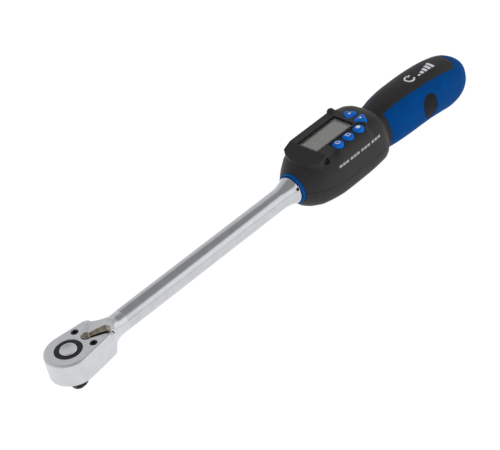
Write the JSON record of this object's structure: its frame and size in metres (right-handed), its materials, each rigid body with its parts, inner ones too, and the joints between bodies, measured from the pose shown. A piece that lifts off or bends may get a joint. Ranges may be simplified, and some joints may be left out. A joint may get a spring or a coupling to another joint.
{
  "type": "electronic torque wrench",
  "caption": "Electronic torque wrench: chrome ratchet head with square drive, steel tube, black display housing with window and push buttons, and a soft two-tone handle.",
  "frame": {"origin": "on the drive axis, level with the middle of the tube", "axes": "+X from the ratchet head to the handle, +Z the display side, square drive points to -Z"},
  "size_m": [0.5267, 0.059, 0.0617],
  "materials": {
    "head_chrome": "satin chrome plated forging",
    "tube_chrome": "satin chrome plated tube",
    "button_chrome": "bright chrome",
    "lever_chrome": "smoky bright chrome",
    "black_steel": "black oxide",
    "black_ring": "matte black",
    "spring_steel": "bright steel",
    "beam_steel": "ground steel",
    "gauge_foil": "amber film",
    "blue_ring": "moulded blue",
    "housing_black": "fine textured black plastic",
    "window_clear": "clear plastic window",
    "display_grey": "blank display",
    "backlight_white": "white diffuser",
    "board_green": "solder mask",
    "button_blue": "moulded blue",
    "mat_grey": "silicone",
    "cell_jacket": "foil jacket",
    "core_black": "moulded black",
    "grip_black": "soft black overmould",
    "grip_blue": "soft blue overmould"
  },
  "bodies": {
    "wrench": {"head_housing": "head_chrome", "head_cover": "head_chrome", "cover_screws": "black_steel", "neck_pin": "black_steel", "pawl_pin": "spring_steel", "pawl_spring": "spring_steel", "tube": "tube_chrome", "flare_pin": "black_steel", "beam": "beam_steel", "strain_gauges": "gauge_foil", "collar_ring": "blue_ring", "shell_upper": "housing_black", "shell_lower": "housing_black", "window_lens": "window_clear", "display_panel": "display_grey", "backlight": "backlight_white", "circuit_board": "board_green", "buzzer": "housing_black", "key_mat": "mat_grey", "shell_screws": "black_steel", "battery_cells": "cell_jacket", "battery_contacts": "spring_steel", "handle_core": "core_black", "grip_black": "grip_black", "grip_blue": "grip_blue", "grip_pads": "grip_black", "end_plug": "core_black"},
    "drive": {"drive_anvil": "black_steel", "drive_ring": "black_ring", "retaining_ring": "spring_steel", "release_spring": "spring_steel"},
    "release": {"release_button": "button_chrome"},
    "ball": {"socket_ball": "spring_steel"},
    "pawl": {"pawl": "spring_steel"},
    "selector": {"selector_lever": "lever_chrome", "selector_plunger": "spring_steel"},
    "key_power": {"button_power": "button_blue"},
    "key_mode": {"button_mode": "button_blue"},
    "key_units": {"button_units": "button_blue"},
    "key_up": {"button_up": "button_blue"},
    "key_down": {"button_down": "button_blue"},
    "door": {"battery_door": "housing_black"}
  },
  "joints": [
    {"name": "drive_spin", "type": "hinge", "parent": "wrench", "child": "drive", "pos_m": [0, 0, 0], "axis": [0, 0, 1], "continuous": true},
    {"name": "release_press", "type": "slide", "parent": "drive", "child": "release", "axis": [0, 0, -1], "range_m": [0, 0.002], "stiffness_N_per_m": 1500, "springref_m": -0.001},
    {"name": "ball_retract", "type": "slide", "parent": "drive", "child": "ball", "axis": [-1, 0, 0], "range_m": [0, 0.0007]},
    {"name": "selector_turn", "type": "hinge", "parent": "wrench", "child": "selector", "pos_m": [0.02, 0, 0], "axis": [0, 0, 1], "range_deg": [0, 58]},
    {"name": "pawl_rock", "type": "hinge", "parent": "wrench", "child": "pawl", "pos_m": [0.02, 0, 0], "axis": [0, 0, 1], "range_deg": [0, 6]},
    {"name": "key_power_press", "type": "slide", "parent": "wrench", "child": "key_power", "axis": [0, 0, -1], "range_m": [0, 0.0012], "stiffness_N_per_m": 800, "springref_m": -0.001},
    {"name": "key_mode_press", "type": "slide", "parent": "wrench", "child": "key_mode", "axis": [0, 0, -1], "range_m": [0, 0.0012], "stiffness_N_per_m": 800, "springref_m": -0.001},
    {"name": "key_units_press", "type": "slide", "parent": "wrench", "child": "key_units", "axis": [0, 0, -1], "range_m": [0, 0.0012], "stiffness_N_per_m": 800, "springref_m": -0.001},
    {"name": "key_up_press", "type": "slide", "parent": "wrench", "child": "key_up", "axis": [0, 0, -1], "range_m": [0, 0.0012], "stiffness_N_per_m": 800, "springref_m": -0.001},
    {"name": "key_down_press", "type": "slide", "parent": "wrench", "child": "key_down", "axis": [0, 0, -1], "range_m": [0, 0.0012], "stiffness_N_per_m": 800, "springref_m": -0.001},
    {"name": "door_hinge", "type": "hinge", "parent": "wrench", "child": "door", "pos_m": [0.3052, 0, -0.0246], "axis": [0, 1, 0], "range_deg": [0, 90]}
  ],
  "couplings": [
    {"joint": "ball_retract", "follows": "release_press", "ratio": 0.35},
    {"joint": "pawl_rock", "follows": "selector_turn", "ratio": 0.1034}
  ]
}
